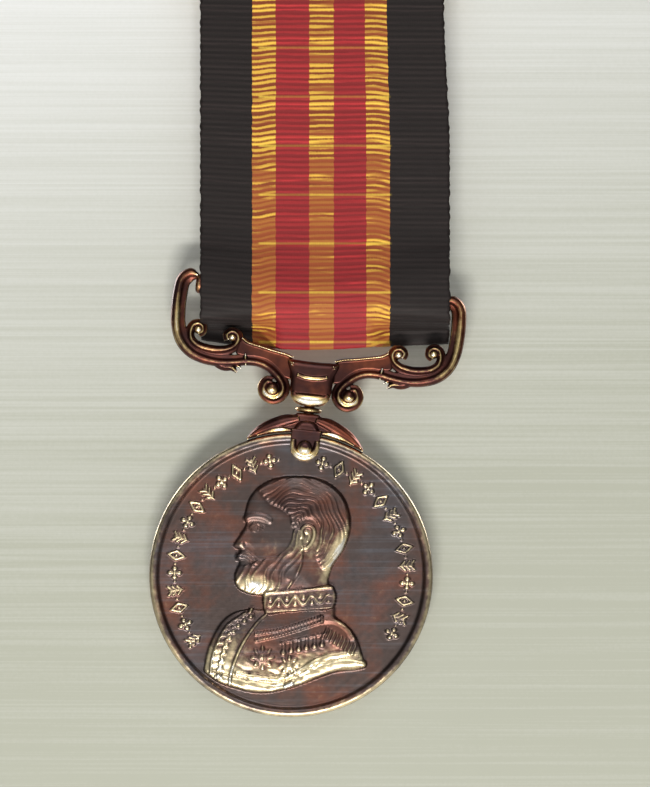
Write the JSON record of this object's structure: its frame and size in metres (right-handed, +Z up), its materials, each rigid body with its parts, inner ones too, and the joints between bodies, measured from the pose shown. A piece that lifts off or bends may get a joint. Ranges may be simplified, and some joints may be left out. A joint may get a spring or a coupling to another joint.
{
  "type": "military service medal",
  "caption": "Round toned-silver service medal with a rim claw, swivelling scroll suspender and striped ribbon on a pin-back brooch.",
  "frame": {"origin": "middle of the brooch plate's flat back, which lies against the coat", "axes": "+Z up along the hanging ribbon, +Y out of the brooch's back towards the coat, +X to the right as the medal is looked at from the front"},
  "size_m": [0.041, 0.0084, 0.0993],
  "materials": {
    "toned_silver": "dark toned silver with bright worn edges",
    "brooch_gilding": "dull gilding metal, worn",
    "pin_steel": "aged nickelled steel",
    "ribbon_cloth": "ribbed silk, black edges with yellow and red centre stripes"
  },
  "bodies": {
    "brooch": {"brooch_plate": "brooch_gilding", "hinge_bracket": "pin_steel", "hinge_rivet": "pin_steel", "catch_hook": "pin_steel", "ribbon_upper": "ribbon_cloth"},
    "needle": {"brooch_needle": "pin_steel"},
    "ribbon": {"ribbon_lower": "ribbon_cloth"},
    "bar": {"ribbon_bar": "toned_silver"},
    "suspender": {"left_scroll": "toned_silver", "right_scroll": "toned_silver", "left_strap": "toned_silver", "right_strap": "toned_silver", "swivel_boss": "toned_silver"},
    "medal": {"swivel_pin": "toned_silver", "swivel_collar": "toned_silver", "claw": "toned_silver", "claw_rivet": "toned_silver", "medal_disc": "toned_silver"}
  },
  "joints": [
    {"name": "needle_hinge", "type": "hinge", "parent": "brooch", "child": "needle", "pos_m": [0.0171, 0.00265, -0.001], "axis": [0, 0, -1], "range_deg": [0, 100]},
    {"name": "ribbon_lift", "type": "hinge", "parent": "brooch", "child": "ribbon", "pos_m": [0, -0.0017, -0.0039], "axis": [-1, 0, 0], "range_deg": [0, 85]},
    {"name": "bar_rock", "type": "hinge", "parent": "ribbon", "child": "bar", "pos_m": [-0.00053, -0.0017, -0.04167], "axis": [0, 1, 0], "range_deg": [-12.2, 0]},
    {"name": "suspender_swing", "type": "hinge", "parent": "bar", "child": "suspender", "pos_m": [-0.00053, -0.0017, -0.04167], "axis": [-0.9943, 0, 0.1063], "range_deg": [0, 70]},
    {"name": "medal_swivel", "type": "hinge", "parent": "suspender", "child": "medal", "pos_m": [-0.00202, -0.0017, -0.05559], "axis": [0.1063, 0, 0.9943], "continuous": true}
  ]
}
